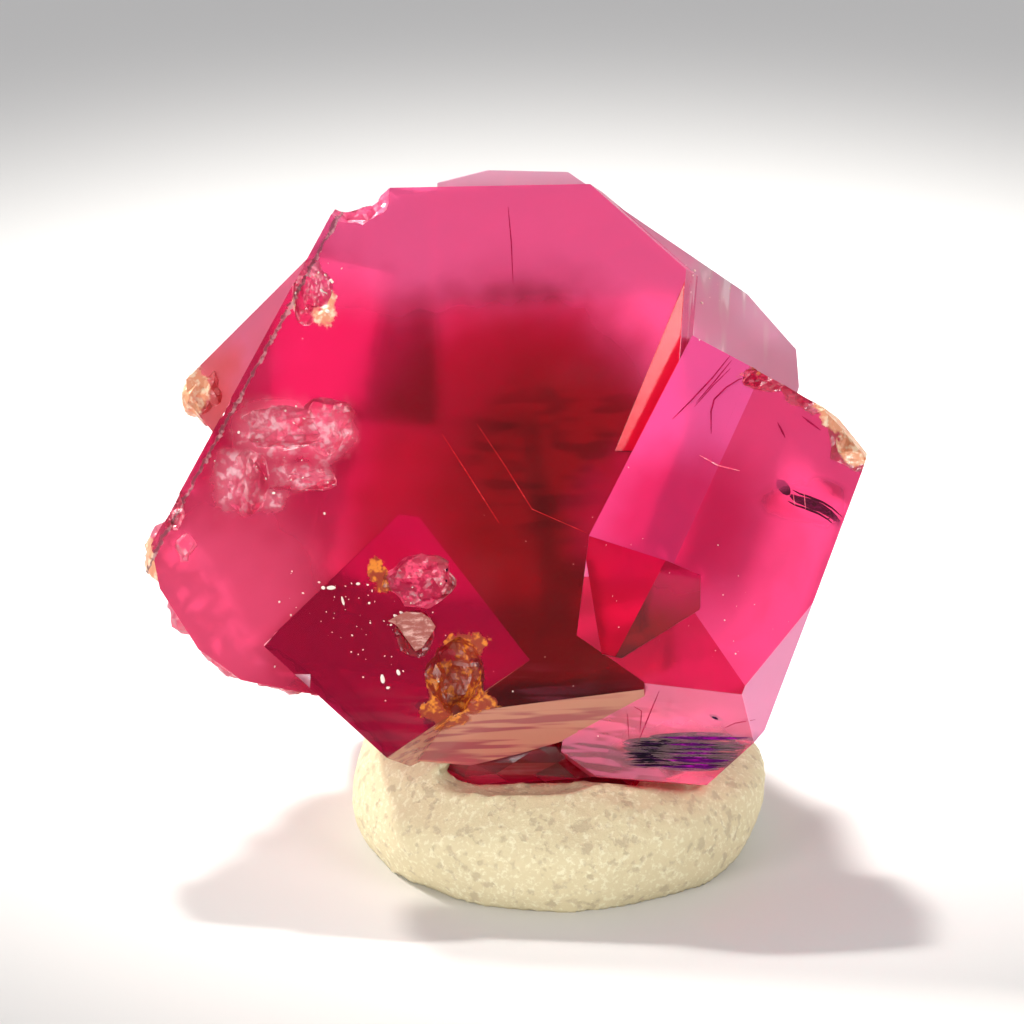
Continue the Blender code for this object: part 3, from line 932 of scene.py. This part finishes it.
# Loose dust, whose pale specks also paint glints: the middle of each patch (right, up), its spread, how many
# specks, and the largest size
DUST_AND_GLINTS = [
    ((-4.4, -1.6), (1.6, 1.2), 46, 0.045),
    ((-3.0, -2.8), (1.5, 1.3), 34, 0.040),
    ((-6.0, 2.4), (1.3, 1.0), 26, 0.060),
    ((-5.0, 7.2), (0.6, 1.0), 24, 0.075),
    ((1.0, -1.0), (4.0, 4.0), 26, 0.025),
    ((6.0, -2.0), (2.0, 1.6), 22, 0.028),
    ((5.6, 7.2), (0.6, 0.9), 22, 0.060),
]


def finish_piece(name, shape, material, smooth=True):
    """Makes an object of the shape, which moves with the specimen."""
    bmesh.ops.recalc_face_normals(shape, faces=shape.faces[:])
    piece = mesh_object(name, shape)
    for polygon in piece.data.polygons:
        polygon.use_smooth = smooth
    piece.data.materials.append(material)
    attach(piece, "root")
    return piece


def build_tube(tree, dark, purple):
    """The tube inside the right crystal: a purple body between two dark walls, with a black head."""
    body = bmesh.new()
    add_line(body, tree, TUBE_LINE, TUBE_RADIUS * 0.9, TUBE_DEPTH, 12)
    finish_piece("inclusion_tube_body", body, purple)
    walls = bmesh.new()
    for side in (-1, 1):
        wall = [(right + side * 0.4 * TUBE_RADIUS, up + side * TUBE_RADIUS) for right, up in TUBE_LINE]
        add_line(walls, tree, wall, TUBE_WALL, TUBE_WALL_DEPTH)
    head, _ = front_point(tree, *TUBE_HEAD, TUBE_DEPTH)
    add_ball(walls, head, TUBE_HEAD_RADII, TUBE_HEAD_TURN)
    rng = random.Random(8)
    for _ in range(TUBE_GRAIN_COUNT):
        right = rng.uniform(*TUBE_GRAIN_RIGHT)
        line_up = TUBE_GRAIN_UP - TUBE_GRAIN_FALL * (right - TUBE_GRAIN_RIGHT[0])
        up = line_up + rng.uniform(-TUBE_GRAIN_STRAY, TUBE_GRAIN_STRAY)
        grain, _ = front_point(tree, right, up, TUBE_GRAIN_DEPTH)
        if grain is not None:
            add_ball(walls, grain, [rng.uniform(*TUBE_GRAIN_RADIUS)] * 3, 0, 1)
    finish_piece("inclusion_tube", walls, dark)


def build_grains(tree, dark):
    """Small dark grains that touch the front from inside."""
    shape = bmesh.new()
    for (right, up), radius in GRAINS:
        grain, _ = front_point(tree, right, up, radius)
        add_ball(shape, grain, (radius, radius, radius))
    grain, _ = front_point(tree, *OVAL_GRAIN, OVAL_GRAIN_RADII[2])
    add_ball(shape, grain, OVAL_GRAIN_RADII, OVAL_GRAIN_TURN)
    finish_piece("inclusion_grains", shape, dark)


def build_fibres(name, tree, bundles, material, seed):
    """Bundles of nearly level fibres, close under the front."""
    rng = random.Random(seed)
    shape = bmesh.new()
    for (middle_right, middle_up), (half_length, half_height), count, thickest, depth in bundles:
        for _ in range(count):
            across = rng.uniform(-1.0, 1.0)
            reach = half_length * rng.uniform(*FIBRE_LENGTH)
            shift = rng.uniform(-1.0, 1.0) * (half_length - reach)
            bow = rng.uniform(-FIBRE_BOW, FIBRE_BOW)
            places = []
            for step in range(7):
                t = step / 3 - 1
                up = middle_up + across * half_height + bow * (1 - t * t)
                places.append((middle_right + shift + reach * t, up))
            half_width = thickest * rng.uniform(*FIBRE_THICKNESS)
            add_line(shape, tree, places, half_width, depth * rng.uniform(*FIBRE_DEPTH))
    finish_piece(name, shape, material)


def build_cracks(name, tree, cracks, material):
    """Fine bodies along the cracks, half sunk in the front."""
    shape = bmesh.new()
    for places, half_width in cracks:
        add_line(shape, tree, places, half_width)
    finish_piece(name, shape, material)


def build_scale(tree, material):
    """A thin scale that lifts off the face at its top."""
    shape = bmesh.new()
    lowest = min(up for _, up in SCALE_OUTLINE)
    highest = max(up for _, up in SCALE_OUTLINE)
    rings = []
    for layer in (0.0, SCALE_THICKNESS):
        ring = []
        for right, up in SCALE_OUTLINE:
            hit, _ = front_point(tree, right, up)
            lift = SCALE_LIFT * (up - lowest) / (highest - lowest)
            ring.append(shape.verts.new(hit + FRONT * (lift + layer)))
        rings.append(ring)
    low, high = rings
    for index in range(len(low)):
        other = (index + 1) % len(low)
        shape.faces.new((low[index], low[other], high[other], high[index]))
    bmesh.ops.triangulate(shape, faces=[shape.faces.new(reversed(low)), shape.faces.new(high)])
    finish_piece("pale_scale", shape, material, smooth=False)


def build_dust_and_glints(tree):
    """Specks and flakes of dust and painted glints that lie on the front faces, thickest at the lower left.
    """
    rng = random.Random(11)
    shape = bmesh.new()
    for (middle_right, middle_up), (wide, high), count, largest in DUST_AND_GLINTS:
        for _ in range(count):
            right = rng.gauss(middle_right, wide * 0.6)
            up = rng.gauss(middle_up, high * 0.6)
            hit, normal = front_point(tree, right, up)
            if hit is None:
                continue
            size = rng.uniform(0.25, 1.0) ** 2 * largest * MM
            turn = normal.to_track_quat("Z", "Y").to_matrix().to_4x4()
            spin = Matrix.Rotation(rng.uniform(0, math.tau), 4, "Z")
            flat = Matrix.Diagonal((size, size * rng.uniform(0.3, 1.0), size * 0.35, 1))
            where = Matrix.Translation(hit + normal * size * 0.2)
            speck = where @ turn @ spin @ flat
            bmesh.ops.create_icosphere(shape, subdivisions=1, radius=1.0, matrix=speck)
    for (right, up), half_length, half_width, turn in DUST_AND_GLINT_FLAKES:
        hit, _ = front_point(tree, right, up)
        add_ball(shape, hit, (half_length, 0.02, half_width), turn)
    finish_piece("dust_and_glint_specks", shape, dust_and_glint_material(), smooth=False)


# Studio

FLOOR_SIZE = 0.6
FLOOR_COLOUR = (0.72, 0.71, 0.69, 1)
FLOOR_ROUGHNESS = 0.55

# The strong light comes from the left, behind and above.
SUN_WAY = Vector((-0.72, 0.55, 0.72))
SUN_DISTANCE = 0.24
SUN_ANGLE = math.radians(9)
SUN_RADIUS = 0.012
SUN_POWER = 2.6
SUN_COLOUR = (1.0, 0.95, 0.88)
# A pool of light lies on the floor behind the crystals and shows through them.
GLOW_FROM = Vector((-0.03, 0.12, 0.25))
GLOW_CENTRE = Vector((0.003, 0.024, 0.0))
GLOW_ANGLE = math.radians(14)
GLOW_RADIUS = 0.02
GLOW_POWER = 9.5
GLOW_COLOUR = (1.0, 0.98, 0.95)
# Soft lights in front, one at each side
RIGHT_FILL_FROM = Vector((0.20, -0.16, 0.14))
RIGHT_FILL_SIZE = 0.16
RIGHT_FILL_POWER = 0.44
LEFT_FILL_FROM = Vector((-0.17, -0.17, 0.055))
LEFT_FILL_SIZE = 0.12
LEFT_FILL_POWER = 0.40
FILL_COLOUR = (1.0, 0.98, 0.96)
# The surroundings are dimmer in front, so that the front faces mirror little.
WORLD_COLOUR = (0.75, 0.76, 0.80, 1)
WORLD_FRONT = 0.09
WORLD_BACK = 0.85
# The part of a direction that points back (+Y), where the surroundings start and stop getting brighter
WORLD_FADE = (-0.6, 0.4)


def build_floor():
    shape = bmesh.new()
    bmesh.ops.create_grid(shape, x_segments=1, y_segments=1, size=FLOOR_SIZE / 2)
    floor = mesh_object("floor", shape)
    floor.location = (0, 0, CAD_LOW.z)
    n = Nodes("floor")
    n.set("Base Color", FLOOR_COLOUR)
    n.set("Roughness", FLOOR_ROUGHNESS)
    floor.data.materials.append(n.material)


def add_lamp(light, location, target, power, colour):
    """Sets a light of this power up, aimed at its target."""
    light.energy = power
    light.color = colour
    lamp = link(bpy.data.objects.new(light.name, light))
    lamp.location = location
    lamp.rotation_euler = (location - target).to_track_quat("Z", "Y").to_euler()


def area_light(name, location, target, size, power, colour):
    light = bpy.data.lights.new(name, "AREA")
    light.shape = "DISK"
    light.size = size
    add_lamp(light, location, target, power, colour)


def spot_light(name, location, target, angle, blend, radius, power, colour):
    light = bpy.data.lights.new(name, "SPOT")
    light.spot_size = angle
    light.spot_blend = blend
    light.shadow_soft_size = radius
    add_lamp(light, location, target, power, colour)


def build_lights():
    target = place(0, 3, 0)
    sun_from = target + SUN_WAY.normalized() * SUN_DISTANCE
    spot_light("sun_side", sun_from, target, SUN_ANGLE, 0.6, SUN_RADIUS, SUN_POWER, SUN_COLOUR)
    spot_light("glow", GLOW_FROM, GLOW_CENTRE, GLOW_ANGLE, 1.0, GLOW_RADIUS, GLOW_POWER, GLOW_COLOUR)
    area_light("right_fill", RIGHT_FILL_FROM, target, RIGHT_FILL_SIZE, RIGHT_FILL_POWER, FILL_COLOUR)
    area_light("left_fill", LEFT_FILL_FROM, target, LEFT_FILL_SIZE, LEFT_FILL_POWER, FILL_COLOUR)


def build_world():
    """The surroundings, brighter behind than in front."""
    world = bpy.data.worlds.new("studio")
    world.use_nodes = True
    tree = world.node_tree
    background = tree.nodes["Background"]
    background.inputs["Color"].default_value = WORLD_COLOUR
    way = tree.nodes.new("ShaderNodeTexCoord")
    parts = tree.nodes.new("ShaderNodeSeparateXYZ")
    fade = tree.nodes.new("ShaderNodeMapRange")
    fade.interpolation_type = "SMOOTHSTEP"
    fade.inputs["From Min"].default_value = WORLD_FADE[0]
    fade.inputs["From Max"].default_value = WORLD_FADE[1]
    fade.inputs["To Min"].default_value = WORLD_FRONT
    fade.inputs["To Max"].default_value = WORLD_BACK
    tree.links.new(way.outputs["Generated"], parts.inputs["Vector"])
    tree.links.new(parts.outputs["Y"], fade.inputs["Value"])
    tree.links.new(fade.outputs["Result"], background.inputs["Strength"])
    bpy.context.scene.world = world


def build_camera():
    data = bpy.data.cameras.new("camera")
    data.lens = CAMERA_LENS
    data.sensor_width = SENSOR
    data.clip_start = NEAREST_SEEN
    camera = link(bpy.data.objects.new("camera", data))
    distance = CAMERA_LENS * VIEW_WIDTH / SENSOR
    camera.location = place(*VIEW_CENTRE) + FRONT * distance
    camera.rotation_euler = (math.pi / 2 - LEAN_BACK, 0, 0)
    bpy.context.scene.camera = camera


def light_paths():
    """Enough bounces for light to find its way through the clear crystals."""
    cycles = bpy.context.scene.cycles
    cycles.max_bounces = 7
    cycles.transmission_bounces = 7
    cycles.glossy_bounces = 4
    cycles.diffuse_bounces = 2
    cycles.sample_clamp_indirect = 6.0
    cycles.blur_glossy = 0.5
    cycles.use_denoising = True
    bpy.context.scene.view_settings.view_transform = "Standard"


build_floor()
build_lights()
build_world()
build_camera()
light_paths()
crystals = build_crystals()
build_putty()
front = surface_tree(crystals)
stuffs = {name: inclusion_material(name, *colours) for name, colours in INCLUSION_COLOURS.items()}
build_tube(front, stuffs["inclusion_dark"], stuffs["inclusion_purple"])
build_grains(front, stuffs["inclusion_dark"])
build_fibres("inclusion_fibres_purple", front, PURPLE_BUNDLES, stuffs["inclusion_purple"], 5)
build_fibres("inclusion_fibres", front, DARK_BUNDLES, stuffs["inclusion_dark"], 6)
build_cracks("cracks_dark", front, DARK_CRACKS, stuffs["crack_dark"])
build_cracks("cracks_red", front, RED_CRACKS, stuffs["crack_red"])
build_cracks("cracks_pale", front, PALE_CRACKS, stuffs["crack_pale"])
build_scale(front, stuffs["scale"])
build_dust_and_glints(front)
